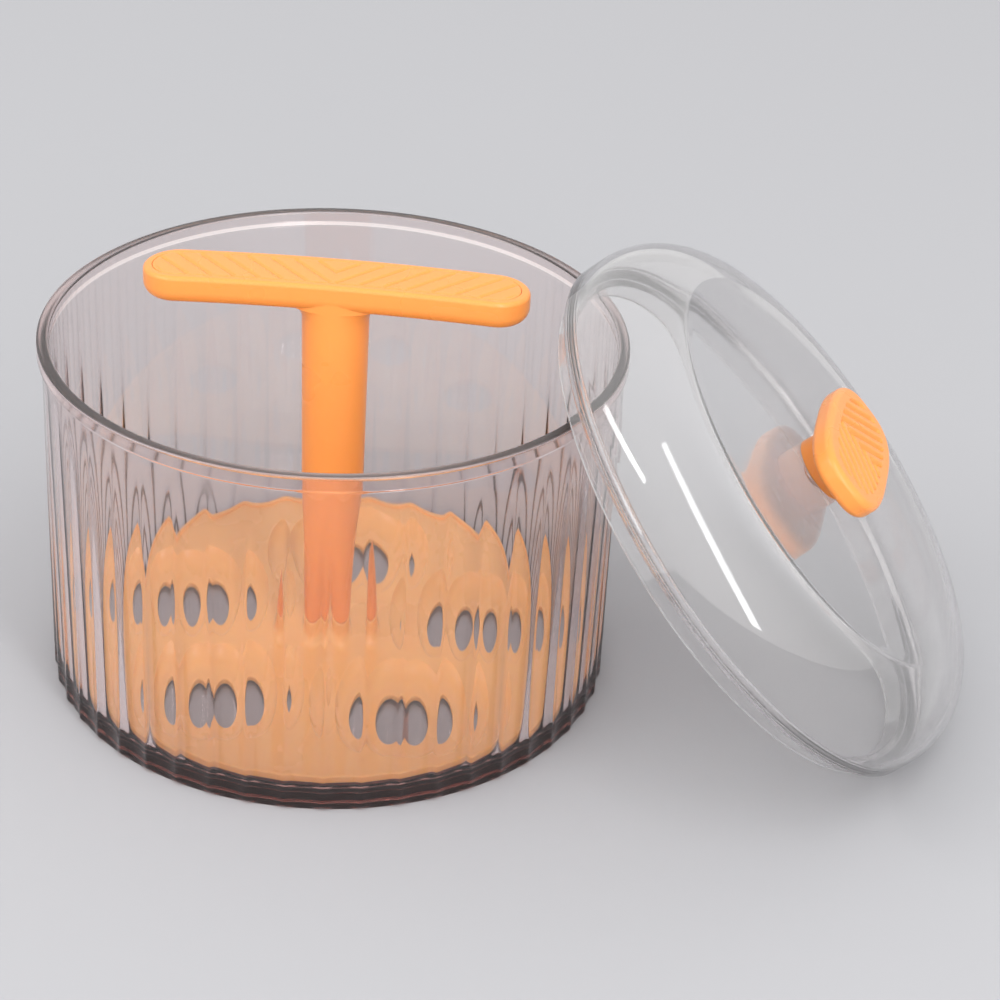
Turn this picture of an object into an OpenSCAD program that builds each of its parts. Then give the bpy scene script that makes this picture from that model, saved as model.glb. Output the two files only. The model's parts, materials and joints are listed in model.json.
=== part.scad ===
// Fluted soaking jar with a lift-out drain tray and a domed lid.
// The jar stands at the origin. The tray sits on its floor and is lifted by a T-handle, and the
// lid leans against the jar with its lower edge on the table. Millimetres, +Z up.

/* [Jar] */
// Diameter across the rim
jar_d = 170; // [150:1:210]
// Height from the foot to the rim
jar_h = 109.5; // [100:0.5:150]
// Width of the flat face of the rim
rim_w = 3.4; // [3:0.1:4.5]
// Height of the thick band under the rim
rim_h = 4; // [3:0.5:8]
// How far the rim stands out past the wall
rim_lip = 1.3; // [0.8:0.1:2]
// How much narrower the inside is at the floor than at the rim
inner_draft = 1.8; // [1:0.1:2.5]
// Thickness of the floor
floor_t = 2.6; // [2:0.1:4]
// Radius where the wall meets the floor inside
corner_r = 7; // [4:0.5:10]
// Depth of the hollow under the foot
foot_recess = 0.8; // [0.5:0.1:1.5]
// Width of the ring that the jar stands on
foot_w = 6; // [4:0.5:9]
// Width of the bevel round the foot
foot_bevel = 1.6; // [0.5:0.1:2.5]

/* [Flutes] */
// Number of flutes round the jar
flute_n = 48; // [36:1:72]
// Depth of a flute at the foot
flute_depth = 1.4; // [0.8:0.1:1.6]
// Width of the narrow land between flutes at the foot
flute_land = 0.8; // [0.5:0.1:2]
// Height at which the flutes run out into the smooth band
flute_top = 102; // [60:1:104]
// Turn of the flutes about the jar's axis
flute_turn = 2.9; // [0:0.1:7.5]

/* [Drain tray] */
// Gap between the tray's edge and the jar at its floor
tray_gap = 1.5; // [1.2:0.1:5]
// Thickness of the tray
tray_t = 1.8; // [1.5:0.1:2.4]
// Depth from the tray's face to the underside of a cup
cup_depth = 6.2; // [6:0.1:9]
// Number of cups
cup_n = 5; // [4:1:5]
// Flat strip between the mouths of neighbouring cups
cup_gap = 4.6; // [4:0.1:8]
// Flat land between a cup's mouth and the tray's raised edge
cup_land = 3.7; // [0.6:0.1:6]
// Width of a cup's curved side
cup_side = 8.5; // [6.5:0.5:10]
// Width of the flat ring round a cup's drain hole
cup_ring = 4.3; // [3:0.1:6]
// Angle of the first cup from +X
cup_turn = 10.4; // [0:0.1:72]
// Width of the raised edge of the tray
edge_w = 1.6; // [1.2:0.1:2.5]
// Height of the raised edge above the tray's face
edge_h = 0.8; // [0.4:0.1:2]
// Height of the boss that holds the handle
boss_h = 7.5; // [6:0.5:12]
// Wall of the boss round the slots of its socket
boss_wall = 2; // [1.5:0.1:3]

/* [Handle] */
// Height of the grip's top above the jar's rim
grip_rise = 19; // [18:0.5:20]
// Length of the grip
grip_l = 111; // [90:1:120]
// Width of the grip
grip_w = 19.8; // [19.6:0.1:22]
// Thickness of the grip
grip_t = 9; // [8:0.1:10]
// How far the ends of the grip drop below its middle
grip_drop = 1.5; // [0.5:0.1:3]
// Diameter of the post where it meets the grip
post_top_d = 19.4; // [16:0.1:19.6]
// Diameter of the post where it meets the boss
post_foot_d = 17.2; // [15:0.1:17.6]
// Bore of the hollow post
post_bore_d = 11; // [8:0.5:12]
// Radius between the post and the grip
post_fillet = 5; // [3:0.5:7]
// Diameter of the spigot that turns in the boss
spigot_d = 9; // [7:0.5:10]
// Reach of each locking lug past the spigot
lug_reach = 2.1; // [1.5:0.1:2.5]
// Width of a locking lug
lug_w = 6; // [4:0.5:7]
// Thickness of a locking lug
lug_t = 1.8; // [1.5:0.1:2.2]
// Thickness of the cap let into the grip
cap_t = 2; // [1.6:0.1:2.4]
// Smooth border of the grip round its cap
cap_border = 2.6; // [2:0.1:3.5]
// Depth of the hollow in the grip under its cap
core_h = 3.2; // [2:0.1:3.6]
// Width of the ledge that the cap rests on
cap_ledge = 1.6; // [1:0.1:2.5]

/* [Chevrons] */
// Distance between chevrons along the grip
chevron_pitch = 6.8; // [5:0.1:9]
// Angle of a chevron's legs from the grip's length
chevron_angle = 48; // [35:1:60]
// Width of a chevron groove
groove_w = 2.2; // [1.5:0.1:3]
// Depth of a chevron groove
groove_depth = 0.7; // [0.4:0.1:1]
// Distance between chevrons along the knob
knob_pitch = 5; // [4:0.1:6]

/* [Lid] */
// How far the lid stands out past the jar's rim
lid_lip = 0; // [0:0.1:2]
// Height of the lid's top edge above the grip when the jar is closed
lid_room = 8.5; // [8:0.5:15]
// Thickness of the lid
lid_t = 2.4; // [2:0.1:3]
// Radius of the lid's shoulder
lid_shoulder_r = 21.5; // [15:0.5:23]
// How far the middle of the top face is sunk
lid_dish = 1.2; // [0:0.1:1.5]
// Height of the collar that drops into the jar's mouth
collar_h = 5.7; // [4:0.1:8]
// Thickness of the collar
collar_t = 2.4; // [2:0.1:3]
// Gap between the collar and the jar's mouth
collar_gap = 1.2; // [0.5:0.1:2]
// Gap round the knob's screw in its hole in the lid
screw_gap = 0.3; // [0.1:0.05:0.5]

/* [Knob] */
// Length of the knob
knob_l = 55; // [40:1:60]
// Width of the knob
knob_w = 28; // [22:0.5:32]
// Thickness of the knob
knob_t = 7; // [6:0.5:10]
// Radius of the knob's corners in plan
knob_corner_r = 11; // [7:0.5:11]
// Smooth border of the knob round its chevrons
knob_border = 3.4; // [2:0.1:4.5]
// Diameter of the knob's stem
stem_d = 19.5; // [16:0.5:22]
// Height of the knob's stem
stem_h = 7.4; // [6:0.1:13]
// Turn of the knob about the lid's middle
knob_turn = -94.5; // [-180:1:180]

/* [Knob screw] */
// Diameter of the screw's thread
screw_d = 4; // [3:0.5:4]
// Plastic left between the end of the screw's hole and the chevrons
screw_cover = 1.5; // [1:0.1:3]
// Diameter of the screw's head
screw_head_d = 8; // [7:0.5:9]
// Height of the screw's head
screw_head_h = 2; // [1.8:0.1:2.4]
// Diameter of the sealing washer
washer_d = 13; // [11:0.5:16]
// Thickness of the sealing washer
washer_t = 0.8; // [0.6:0.1:1]

/* [Leaning lid] */
// Lean of the lid's axis from upright, more where the jar is too tall for it
lean_wish = 48.5; // [42:0.5:54]
// Direction from the jar to the lid
lean_turn = -10.5; // [-180:0.1:180]

/* [Clearances] */
// Gap between pieces that slide or turn past each other
run_gap = 0.3; // [0.3:0.05:0.5]
// Radial gap of the spigot in its socket
pivot_gap = 0.08; // [0.05:0.01:0.1]
// Gap between resting faces of pieces that come apart
rest_gap = 0.1; // [0.05:0.05:0.2]

/* [Hidden] */

round_fn = 96;
small_fn = 48;
over = 1;

// Jar
rim_r = jar_d / 2;
mouth_r = rim_r - rim_w;
wall_r = rim_r - rim_lip;
floor_r = mouth_r - inner_draft;
foot_in_r = wall_r - foot_bevel - foot_w;
edge_round = 0.6;
wall_top_z = jar_h - rim_h;

// Flutes: stacked lengths of round cutter, each as deep as the slope of the flute at its middle
flute_steps = 3;
flute_chord = 2 * wall_r * sin(180 / flute_n) - flute_land;
flute_step_h = flute_top / flute_steps;

// Tray
tray_r = floor_r - tray_gap;
cup_circle = tray_r - edge_w - cup_land;
cup_share = sin(180 / cup_n);
cup_r = (cup_circle * cup_share - cup_gap / 2) / (1 + cup_share);
cup_pitch = cup_circle - cup_r;
cup_floor_r = cup_r - cup_side;
hole_r = cup_floor_r - cup_ring;
tray_foot_z = floor_t + rest_gap;
tray_face_z = tray_foot_z + cup_depth;
cup_bowl_dz = cup_depth - tray_t;
cup_bowl_r = (pow(cup_side, 2) + pow(cup_bowl_dz, 2)) / (2 * cup_bowl_dz);
lug_r = spigot_d / 2 + lug_reach;
slot_r = lug_r + run_gap;
boss_r = slot_r + boss_wall;
boss_fillet = 4;
boss_top_z = tray_face_z + boss_h;

// Handle
grip_top_z = jar_h + grip_rise;
grip_under_z = grip_top_z - grip_t;
post_foot_z = boss_top_z + rest_gap;
lug_top_z = tray_face_z - tray_t - run_gap;
grip_turn = cup_turn - 90 / cup_n;
grip_round = 3.6;
under_round = 6;

// Lid, in its own frame: z = 0 is the open edge of the collar
lid_r = rim_r + lid_lip;
lid_h = grip_rise + lid_room;
lid_hole_d = screw_d + 2 * screw_gap;
collar_r = mouth_r - collar_gap;
lid_top_z = collar_h + lid_h;
dish_edge_r = lid_r - lid_shoulder_r;
stem_seat_z = lid_top_z - lid_dish;
knob_hole_h = stem_h + knob_t - groove_depth - screw_cover;
screw_end_gap = 1;
screw_l = washer_t + lid_t + knob_hole_h - screw_end_gap;

// Where the leaning lid stands: its lower edge on the table, the inner edge of its collar on the rim
collar_in_r = collar_r - collar_t;
lean_reach = 0.97;
lean = max(lean_wish, asin(min(1, jar_h / (collar_r + lean_reach * collar_in_r))));
lid_z = max(collar_r * sin(lean), lid_r * sin(lean) - collar_h * cos(lean));
lean_cos = min(1, (jar_h - lid_z) / (collar_in_r * sin(lean)));
lean_side = collar_in_r * sqrt(1 - lean_cos * lean_cos);
touch_x = sqrt(rim_r * rim_r - lean_side * lean_side);
lid_x = touch_x + collar_in_r * lean_cos * cos(lean) + run_gap * rim_r / touch_x;

jar_smoke = [0.72, 0.70, 0.72, 0.35];
orange = [0.98, 0.62, 0.30];
steel = [0.75, 0.76, 0.78];
silicone = [0.92, 0.92, 0.90];

// Points along an arc about (cx, cz) from angle a to angle b
function arc(cx, cz, r, a, b, steps = 8) =
    [for (i = [0 : steps]) let (t = a + (b - a) * i / steps) [cx + r * cos(t), cz + r * sin(t)]];

// Flat outline with straight sides and round ends
module stadium(length, width) {
    square([length - width, width], center = true);
    for (side = [-1, 1])
        translate([side * (length - width) / 2, 0]) circle(d = width, $fn = round_fn);
}

// Flat rectangle with round corners
module rounded_rect(length, width, r) {
    square([length - 2 * r, width], center = true);
    square([length, width - 2 * r], center = true);
    for (x = [-1, 1], y = [-1, 1])
        translate([x * (length / 2 - r), y * (width / 2 - r)]) circle(r = r, $fn = small_fn);
}

// V-shaped cutters in rows along X, with each V's point towards -Y
module chevron_cutters(pitch, rows, top_z) {
    leg = 60;
    for (row = [-rows : rows], side = [-1, 1])
        intersection() {
            translate([0, row * pitch * tan(chevron_angle), top_z - groove_depth])
                rotate([0, 0, side * chevron_angle])
                    translate([side * leg / 2, 0, over]) cube([leg, groove_w, 2 * over], center = true);
            translate([side * leg, 0, top_z]) cube([2 * leg, 4 * leg, 4 * over], center = true);
        }
}

// Height of the arched grip's top at a distance x from its middle
function arch_z(x) = grip_top_z - grip_drop * pow(2 * x / grip_l, 2);

// Upright slab whose top and bottom follow the arch of the grip
module arched_slab(top_offset, thickness) {
    steps = 16;
    reach = grip_l / 2 + over;
    xs = [for (i = [0 : steps]) -reach + 2 * reach * i / steps];
    upper = [for (x = xs) [x, arch_z(x) + top_offset]];
    lower = [for (i = [steps : -1 : 0]) [xs[i], arch_z(xs[i]) + top_offset - thickness]];
    rotate([90, 0, 0])
        linear_extrude(height = 3 * grip_w, center = true) polygon(concat(upper, lower));
}

// Cross-section of the grip: flat top with eased edges, rounded underside
module grip_section() {
    top = grip_top_z;
    low = grip_top_z - grip_t - grip_drop;
    half = grip_w / 2;
    polygon(concat(
        arc(half - grip_round, top - grip_round, grip_round, 0, 90, 4),
        arc(-half + grip_round, top - grip_round, grip_round, 90, 180, 4),
        arc(-half + under_round, low + under_round, under_round, 180, 270, 6),
        arc(half - under_round, low + under_round, under_round, 270, 360, 6)));
}

module jar() {
    color(jar_smoke)
        difference() {
            rotate_extrude($fn = round_fn)
                polygon(concat(
                    [[0, foot_recess], [foot_in_r, foot_recess], [foot_in_r, 0],
                     [wall_r - foot_bevel, 0], [wall_r, foot_bevel],
                     [wall_r, wall_top_z - rim_lip], [rim_r, wall_top_z],
                     [rim_r, jar_h - edge_round], [rim_r - edge_round, jar_h],
                     [mouth_r + edge_round, jar_h], [mouth_r, jar_h - edge_round]],
                    arc(floor_r - corner_r, floor_t + corner_r, corner_r, 0, -90),
                    [[0, floor_t]]));
            for (step = [0 : flute_steps - 1]) flute_ring(step);
        }
}

// One step of all the flutes
module flute_ring(step) {
    depth = flute_depth * (1 - (step + 0.5) / flute_steps);
    r = (pow(flute_chord / 2, 2) + pow(depth, 2)) / (2 * depth);
    low = step == 0 ? -over : step * flute_step_h;
    for (i = [0 : flute_n - 1])
        rotate([0, 0, flute_turn + 360 * i / flute_n])
            translate([wall_r - depth + r, 0, low])
                cylinder(r = r, h = (step + 1) * flute_step_h - low, $fn = round_fn);
}

// Copies of a piece at each cup
module at_cups() {
    for (i = [0 : cup_n - 1])
        rotate([0, 0, cup_turn + 360 * i / cup_n]) translate([cup_pitch, 0, 0]) children();
}

// Solid bowl of revolution, grown by a wall thickness, that curves up to a height and ends at a top
module cup_bowl(wall, curve_z, top_z) {
    r = cup_bowl_r + wall;
    base = tray_foot_z + tray_t - wall;
    reach = acos(1 - (curve_z - base) / r);
    rotate_extrude($fn = round_fn)
        polygon(concat(
            [[0, base]],
            arc(cup_floor_r, base + r, r, 270, 270 + reach),
            [[cup_floor_r + r * sin(reach), top_z], [0, top_z]]));
}

// Opening in the boss that the handle's lugs pass through
module slot_shape(gap) {
    intersection() {
        circle(r = lug_r + gap, $fn = small_fn);
        square([4 * lug_r, lug_w + 2 * gap], center = true);
    }
}

module drain_tray() {
    color(orange)
        difference() {
            union() {
                rotate_extrude($fn = round_fn)
                    polygon(concat(
                        [[0, tray_face_z - tray_t], [tray_r, tray_face_z - tray_t],
                         [tray_r, tray_face_z + edge_h], [tray_r - edge_w, tray_face_z + edge_h],
                         [tray_r - edge_w, tray_face_z]],
                        arc(boss_r + boss_fillet, tray_face_z + boss_fillet, boss_fillet, 270, 180, 6),
                        [[boss_r, boss_top_z], [0, boss_top_z]]));
                at_cups() cup_bowl(tray_t, tray_face_z - tray_t, tray_face_z - tray_t / 2);
            }
            at_cups() {
                cup_bowl(0, tray_face_z, tray_face_z + over);
                translate([0, 0, tray_foot_z - over])
                    cylinder(r = hole_r, h = tray_t + 2 * over, $fn = round_fn);
            }
            translate([0, 0, tray_foot_z])
                cylinder(r = spigot_d / 2 + pivot_gap, h = boss_top_z, $fn = small_fn);
            translate([0, 0, tray_foot_z])
                rotate([0, 0, grip_turn + 90])
                    linear_extrude(height = boss_top_z) slot_shape(run_gap);
        }
}

module t_handle() {
    inner_l = grip_l - 2 * cap_border;
    inner_w = grip_w - 2 * cap_border;
    color(orange)
        rotate([0, 0, grip_turn])
            difference() {
                union() {
                    intersection() {
                        linear_extrude(height = grip_top_z + over) stadium(grip_l, grip_w);
                        arched_slab(0, grip_t);
                        rotate([90, 0, 90])
                            linear_extrude(height = grip_l + 2 * over, center = true) grip_section();
                    }
                    translate([0, 0, post_foot_z])
                        cylinder(d1 = post_foot_d, d2 = post_top_d, h = grip_under_z - post_foot_z + over,
                                 $fn = round_fn);
                    intersection() {
                        rotate_extrude($fn = round_fn)
                            polygon(concat(
                                [[0, grip_under_z - post_fillet]],
                                arc(post_top_d / 2 + post_fillet, grip_under_z - post_fillet, post_fillet,
                                    180, 90),
                                [[post_top_d / 2 + post_fillet, grip_under_z + over],
                                 [0, grip_under_z + over]]));
                        translate([0, 0, grip_under_z])
                            cube([3 * grip_w, grip_w, 4 * post_fillet], center = true);
                    }
                    translate([0, 0, lug_top_z - lug_t])
                        cylinder(d = spigot_d, h = post_foot_z - lug_top_z + lug_t + over, $fn = small_fn);
                    translate([0, 0, lug_top_z - lug_t])
                        linear_extrude(height = lug_t) slot_shape(0);
                }
                intersection() {
                    linear_extrude(height = grip_top_z + over) stadium(inner_l, inner_w);
                    arched_slab(over, cap_t + over);
                }
                intersection() {
                    linear_extrude(height = grip_top_z + over)
                        stadium(inner_l - 2 * cap_ledge, inner_w - 2 * cap_ledge);
                    arched_slab(over, cap_t + core_h + over);
                }
                translate([0, 0, post_foot_z + post_fillet])
                    cylinder(d = post_bore_d, h = grip_top_z, $fn = small_fn);
            }
}

module grip_cap() {
    fit = rest_gap;
    rows = ceil(grip_l / 2 / chevron_pitch) + 1;
    color(orange)
        rotate([0, 0, grip_turn])
            difference() {
                intersection() {
                    linear_extrude(height = grip_top_z + over)
                        stadium(grip_l - 2 * cap_border - 2 * fit, grip_w - 2 * cap_border - 2 * fit);
                    arched_slab(0, cap_t);
                }
                intersection() {
                    chevron_cutters(chevron_pitch, rows, grip_top_z);
                    linear_extrude(height = grip_top_z + over)
                        stadium(grip_l - 4 * cap_border, grip_w - 3 * cap_border);
                }
            }
}

// Puts a piece of the lid where the lid leans
module at_lid() {
    rotate([0, 0, lean_turn])
        translate([lid_x, 0, lid_z])
            rotate([0, lean, 0]) children();
}

module lid() {
    inner_r = lid_r - lid_t;
    inner_shoulder = lid_shoulder_r - lid_t;
    color(jar_smoke)
        at_lid()
            rotate_extrude($fn = round_fn)
                polygon(concat(
                    [[collar_in_r, 0], [collar_r, 0], [collar_r, collar_h],
                     [lid_r - edge_round, collar_h], [lid_r, collar_h + edge_round]],
                    arc(dish_edge_r, lid_top_z - lid_shoulder_r, lid_shoulder_r, 0, 90),
                    [[stem_d / 2, stem_seat_z], [lid_hole_d / 2, stem_seat_z],
                     [lid_hole_d / 2, stem_seat_z - lid_t], [stem_d / 2, stem_seat_z - lid_t]],
                    arc(dish_edge_r, lid_top_z - lid_shoulder_r, inner_shoulder, 90, 0),
                    [[inner_r, collar_h + lid_t + 1], [collar_in_r, collar_h]]));
}

module knob() {
    face_z = stem_h + knob_t;
    crown = 1.6;
    inner_l = knob_l - 2 * knob_border;
    inner_w = knob_w - 2 * knob_border;
    color(orange)
        at_lid()
            translate([0, 0, stem_seat_z])
                rotate([0, 0, knob_turn])
                    difference() {
                        union() {
                            cylinder(d = stem_d, h = stem_h + over, $fn = round_fn);
                            translate([0, 0, stem_h])
                                linear_extrude(height = crown)
                                    rounded_rect(knob_l - 2 * crown, knob_w - 2 * crown, knob_corner_r - crown);
                            translate([0, 0, stem_h + crown / 2])
                                linear_extrude(height = knob_t - crown)
                                    rounded_rect(knob_l, knob_w, knob_corner_r);
                            translate([0, 0, face_z - crown])
                                linear_extrude(height = crown)
                                    rounded_rect(knob_l - 2 * crown, knob_w - 2 * crown, knob_corner_r - crown);
                        }
                        intersection() {
                            chevron_cutters(knob_pitch, ceil(knob_l / 2 / knob_pitch) + 1, face_z);
                            linear_extrude(height = face_z + over)
                                rounded_rect(inner_l, inner_w, knob_corner_r - knob_border);
                        }
                        translate([0, 0, -over])
                            cylinder(d = screw_d + 2 * pivot_gap, h = knob_hole_h + over, $fn = small_fn);
                    }
}

module knob_washer() {
    color(silicone)
        at_lid()
            translate([0, 0, stem_seat_z - lid_t - washer_t])
                difference() {
                    cylinder(d = washer_d, h = washer_t, $fn = small_fn);
                    translate([0, 0, -over]) cylinder(d = lid_hole_d, h = washer_t + 2 * over, $fn = small_fn);
                }
}

module knob_screw() {
    head_z = stem_seat_z - lid_t - washer_t;
    socket_d = 3.4;
    color(steel)
        at_lid()
            difference() {
                union() {
                    translate([0, 0, head_z - screw_head_h])
                        cylinder(d = screw_head_d, h = screw_head_h, $fn = small_fn);
                    translate([0, 0, head_z - over]) cylinder(d = screw_d, h = screw_l + over, $fn = small_fn);
                }
                translate([0, 0, head_z - screw_head_h - over])
                    cylinder(d = socket_d, h = screw_head_h / 2 + over, $fn = 6);
            }
}

jar();
drain_tray();
t_handle();
grip_cap();
lid();
knob();
knob_screw();
knob_washer();
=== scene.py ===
"""Looks of a fluted soaking jar with a lift-out drain tray and a domed lid, built round its fixed frame.

Lengths are in metres, in the frame's own axes: +Z up, the jar's axis at the origin.
"""

import json
import logging
import math
from collections.abc import Callable, Sequence
from dataclasses import dataclass, field
from enum import Enum

import bmesh
import bpy
import numpy as np
from mathutils import Matrix, Vector
from mathutils.geometry import delaunay_2d_cdt


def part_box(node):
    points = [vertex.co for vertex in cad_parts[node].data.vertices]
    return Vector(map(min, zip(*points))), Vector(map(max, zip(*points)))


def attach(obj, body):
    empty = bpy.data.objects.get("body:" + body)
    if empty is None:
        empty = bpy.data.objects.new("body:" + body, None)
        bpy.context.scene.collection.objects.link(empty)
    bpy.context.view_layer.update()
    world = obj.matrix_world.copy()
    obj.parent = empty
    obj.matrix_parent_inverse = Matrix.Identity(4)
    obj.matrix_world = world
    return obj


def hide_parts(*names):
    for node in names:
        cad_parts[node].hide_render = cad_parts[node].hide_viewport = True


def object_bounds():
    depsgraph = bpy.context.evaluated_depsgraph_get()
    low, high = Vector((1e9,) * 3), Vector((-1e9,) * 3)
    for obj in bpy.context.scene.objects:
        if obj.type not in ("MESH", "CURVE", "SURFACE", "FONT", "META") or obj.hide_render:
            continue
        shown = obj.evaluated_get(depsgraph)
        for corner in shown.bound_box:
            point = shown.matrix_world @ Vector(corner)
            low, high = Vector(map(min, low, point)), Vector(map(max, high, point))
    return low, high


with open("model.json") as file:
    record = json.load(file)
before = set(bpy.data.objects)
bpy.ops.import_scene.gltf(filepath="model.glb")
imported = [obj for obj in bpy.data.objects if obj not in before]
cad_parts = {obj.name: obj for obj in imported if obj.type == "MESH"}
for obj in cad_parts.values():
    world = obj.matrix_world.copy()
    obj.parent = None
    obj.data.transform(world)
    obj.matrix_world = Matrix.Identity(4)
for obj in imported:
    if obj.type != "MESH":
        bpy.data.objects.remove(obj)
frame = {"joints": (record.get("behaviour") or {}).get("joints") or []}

LOG = logging.getLogger("soaking_jar")
CAD_LOW, CAD_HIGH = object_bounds()

MM = 0.001
WELD = 0.002 * MM
TINY = 1e-6
REST_GAP = 0.1 * MM
SHARP_ANGLE = math.radians(32)
FULL_TURN = 2 * math.pi

Profile = list[tuple[float, float]]
Corner = tuple[float, float, float]


class Body(Enum):
    """The bodies that pieces ride on."""

    JAR = "jar_body"
    TRAY = "tray_body"
    HANDLE = "handle_body"
    LID = "lid_body"


class Slot(Enum):
    """The record's material slots."""

    JAR = "jar_plastic"
    LID = "lid_plastic"
    ORANGE = "orange_plastic"
    STEEL = "screw_steel"
    SILICONE = "washer_silicone"


# ---------------------------------------------------------------- nodes and colours


def linear(hex_colour: str) -> tuple[float, float, float, float]:
    """Turns an sRGB hex colour into linear RGBA.

    Args:
        hex_colour: six hex digits, without a leading mark.

    Returns:
        The linear colour with full alpha.
    """
    parts = [int(hex_colour[i:i + 2], 16) / 255 for i in (0, 2, 4)]
    red, green, blue = (c / 12.92 if c <= 0.04045 else ((c + 0.055) / 1.055) ** 2.4 for c in parts)
    return red, green, blue, 1.0


def add_node(tree: bpy.types.NodeTree, kind: str, inputs: dict | None = None, **settings) -> bpy.types.Node:
    """Adds a node with its settings, values and links.

    Args:
        tree: the node tree to add to.
        kind: the node's type name.
        inputs: for each input's name or index, a value or the socket that feeds it.
        **settings: the node's own properties.

    Returns:
        The new node.
    """
    node = tree.nodes.new(kind)
    for key, value in settings.items():
        setattr(node, key, value)
    for key, value in (inputs or {}).items():
        if isinstance(value, bpy.types.NodeSocket):
            tree.links.new(value, node.inputs[key])
        else:
            node.inputs[key].default_value = value
    return node


def formula(tree: bpy.types.NodeTree, known: dict, steps: Sequence[tuple]) -> dict:
    """Adds a chain of sums to a tree, one step at a time.

    Args:
        tree: the node tree to add to.
        known: sockets and numbers by name.
        steps: tuples of a new name, an operation, and the names or numbers that it takes.

    Returns:
        The known values with each step's result added.
    """
    values = dict(known)
    for name, operation, *terms in steps:
        inputs = {i: values[term] if isinstance(term, str) else term for i, term in enumerate(terms)}
        values[name] = add_node(tree, "ShaderNodeMath", inputs, operation=operation).outputs[0]
    return values


def new_material(name: str) -> tuple[bpy.types.Material, bpy.types.NodeTree, bpy.types.Node]:
    """Makes an empty node material.

    Args:
        name: the material's name.

    Returns:
        The material, its tree and its output node.
    """
    material = bpy.data.materials.new(name)
    material.use_nodes = True
    material.node_tree.nodes.clear()
    return material, material.node_tree, add_node(material.node_tree, "ShaderNodeOutputMaterial")


def mottle(tree: bpy.types.NodeTree, scale: float, detail: float) -> bpy.types.NodeSocket:
    """Adds a soft random pattern that is fixed to the object, and gives its strength."""
    place = add_node(tree, "ShaderNodeTexCoord").outputs["Object"]
    noise = add_node(tree, "ShaderNodeTexNoise", {"Vector": place, "Scale": scale, "Detail": detail})
    return noise.outputs["Fac"]


def end_material(tree: bpy.types.NodeTree, output: bpy.types.Node, pattern: bpy.types.NodeSocket,
                 height: float, values: dict) -> None:
    """Ends a material in a surface with a fine relief.

    Args:
        tree: the material's tree.
        output: its output node.
        pattern: the pattern of the relief.
        height: the height of the relief.
        values: the surface's other inputs by name.
    """
    relief = add_node(tree, "ShaderNodeBump", {"Height": pattern, "Distance": height, "Strength": 1.0})
    surface = add_node(tree, "ShaderNodeBsdfPrincipled", values | {"Normal": relief.outputs["Normal"]})
    tree.links.new(surface.outputs[0], output.inputs["Surface"])


@dataclass(frozen=True)
class ClearPlastic:
    """Smoke-tinted styrene acrylonitrile, moulded in a polished tool.

    It is clear and glossy with faint flow waves. A thin wall is pale grey, and a long way through is brown.
    The thick corner of a foot has a painted warm reflection in its colour, standing in for the orange tray's
    light seen through it, and the top of a rim is a little dull.
    """

    name: str
    tint: str
    smoke: str
    density: float
    rim_low: float
    rim_high: float
    ior: float = 1.57
    painted_foot_reflection: str = "eeb0a4"
    foot_low: float = 5 * MM
    foot_high: float = 9 * MM
    foot_in_r: float = 68 * MM
    foot_out_r: float = 76 * MM
    roughness: float = 0.02
    clearness: float = 0.985
    rim_roughness: float = 0.35
    haze_scale: float = 1 / (30 * MM)
    haze_low: float = 0.35
    haze_high: float = 0.75
    haze_dulling: float = 2.5
    wave_scale: float = 1 / (22 * MM)
    wave_height: float = 0.012 * MM

    def material(self) -> bpy.types.Material:
        """Builds the material."""
        material, tree, output = new_material(self.name)
        hazy = add_node(tree, "ShaderNodeMapRange", {
            "Value": mottle(tree, self.haze_scale, 4.0),
            "From Min": self.haze_low, "From Max": self.haze_high,
            "To Min": self.roughness, "To Max": self.roughness * self.haze_dulling})
        place = add_node(tree, "ShaderNodeTexCoord").outputs["Object"]
        x, y, z = add_node(tree, "ShaderNodeSeparateXYZ", {0: place}).outputs
        dull = add_node(tree, "ShaderNodeMapRange", {
            "Value": z, "From Min": self.rim_low, "From Max": self.rim_high,
            "To Min": 0.0, "To Max": self.rim_roughness})
        values = formula(tree, {"x": x, "y": y, "z": z, "hazy": hazy.outputs[0], "dull": dull.outputs[0]}, (
            ("rough", "ADD", "hazy", "dull"),
            ("xx", "MULTIPLY", "x", "x"),
            ("rr", "MULTIPLY_ADD", "y", "y", "xx"),
            ("r", "SQRT", "rr"),
            # The band of the foot that gets the painted warm reflection, fading out inwards and upwards.
            ("out", "SUBTRACT", self.foot_out_r, "r"),
            ("within", "DIVIDE", "out", self.foot_out_r - self.foot_in_r),
            ("up", "SUBTRACT", "z", self.foot_low),
            ("above", "DIVIDE", "up", self.foot_high - self.foot_low),
            ("off foot", "MAXIMUM", "within", "above")))
        # Painted reflection: in the foot band the base colour turns warm, standing in for the orange tray's
        # light seen through the thick foot.
        tint = add_node(tree, "ShaderNodeMix", {
            "Factor": values["off foot"], 6: linear(self.painted_foot_reflection), 7: linear(self.tint)}, data_type="RGBA")
        end_material(tree, output, mottle(tree, self.wave_scale, 1.0), self.wave_height, {
            "Base Color": tint.outputs[2], "Roughness": values["rough"], "IOR": self.ior,
            "Transmission Weight": self.clearness})
        smoke = add_node(tree, "ShaderNodeVolumeAbsorption", {
            "Color": linear(self.smoke), "Density": self.density})
        tree.links.new(smoke.outputs[0], output.inputs["Volume"])
        return material


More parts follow.
